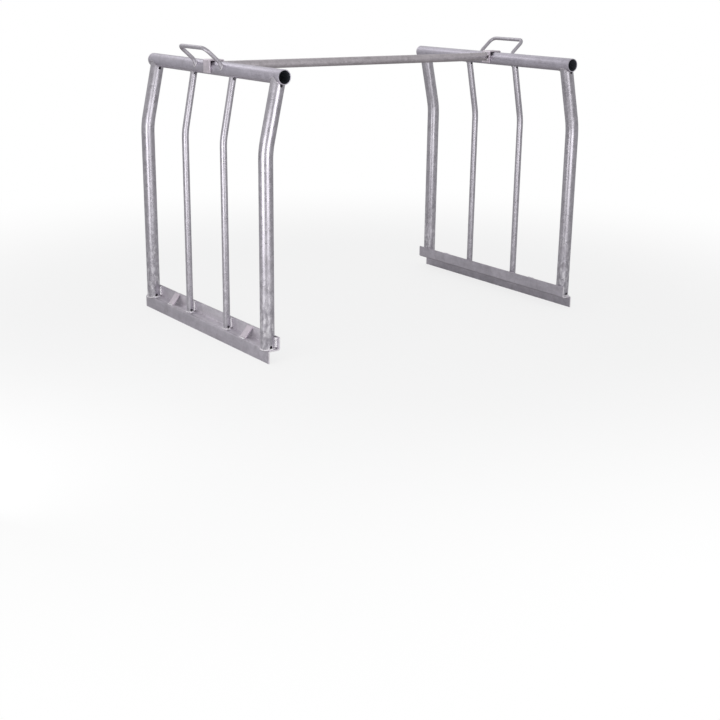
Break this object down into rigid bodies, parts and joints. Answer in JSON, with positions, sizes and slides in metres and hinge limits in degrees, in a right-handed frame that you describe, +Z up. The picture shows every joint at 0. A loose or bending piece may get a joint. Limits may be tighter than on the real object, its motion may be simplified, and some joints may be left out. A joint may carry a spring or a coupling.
{
  "type": "steel pallet collar",
  "caption": "Galvanised steel pallet collar: end frames of folded rail, bent tube uprights and an open-ended crossbar with handle, tied by a bar with square hooks.",
  "frame": {"origin": "centre of the footprint, at the lower edges of the two downturned flanges", "axes": "+X along the pallet's length towards the right end frame, +Y across the pallet, +Z up"},
  "size_m": [1.2588, 0.8, 0.8875],
  "materials": {
    "galvanised_tube": "hot-dip galvanised, satin, mottled spangle",
    "galvanised_sheet": "hot-dip galvanised, matte to satin",
    "galvanised_rod": "hot-dip galvanised, satin",
    "galvanised_weld": "rippled weld bead under bright zinc"
  },
  "bodies": {
    "left_end_frame": {"left_rail": "galvanised_sheet", "left_front_post": "galvanised_tube", "left_back_post": "galvanised_tube", "left_front_upright": "galvanised_tube", "left_back_upright": "galvanised_tube", "left_crossbar": "galvanised_tube", "left_handle": "galvanised_rod", "left_front_gusset": "galvanised_sheet", "left_back_gusset": "galvanised_sheet", "left_rail_welds": "galvanised_weld", "left_crossbar_welds": "galvanised_weld", "left_handle_welds": "galvanised_weld"},
    "right_end_frame": {"right_rail": "galvanised_sheet", "right_front_post": "galvanised_tube", "right_back_post": "galvanised_tube", "right_front_upright": "galvanised_tube", "right_back_upright": "galvanised_tube", "right_crossbar": "galvanised_tube", "right_handle": "galvanised_rod", "right_front_gusset": "galvanised_sheet", "right_back_gusset": "galvanised_sheet", "right_rail_welds": "galvanised_weld", "right_crossbar_welds": "galvanised_weld", "right_handle_welds": "galvanised_weld"},
    "connecting_bar": {"connecting_tube": "galvanised_tube", "left_hook": "galvanised_sheet", "right_hook": "galvanised_sheet", "bar_welds": "galvanised_weld"}
  },
  "joints": [
    {"name": "right_frame_lift", "type": "slide", "parent": "left_end_frame", "child": "right_end_frame", "axis": [0, 0, 1], "range_m": [0, 0.1]},
    {"name": "bar_lift", "type": "slide", "parent": "right_end_frame", "child": "connecting_bar", "axis": [0, 0, 1], "range_m": [0, 0.12]}
  ]
}
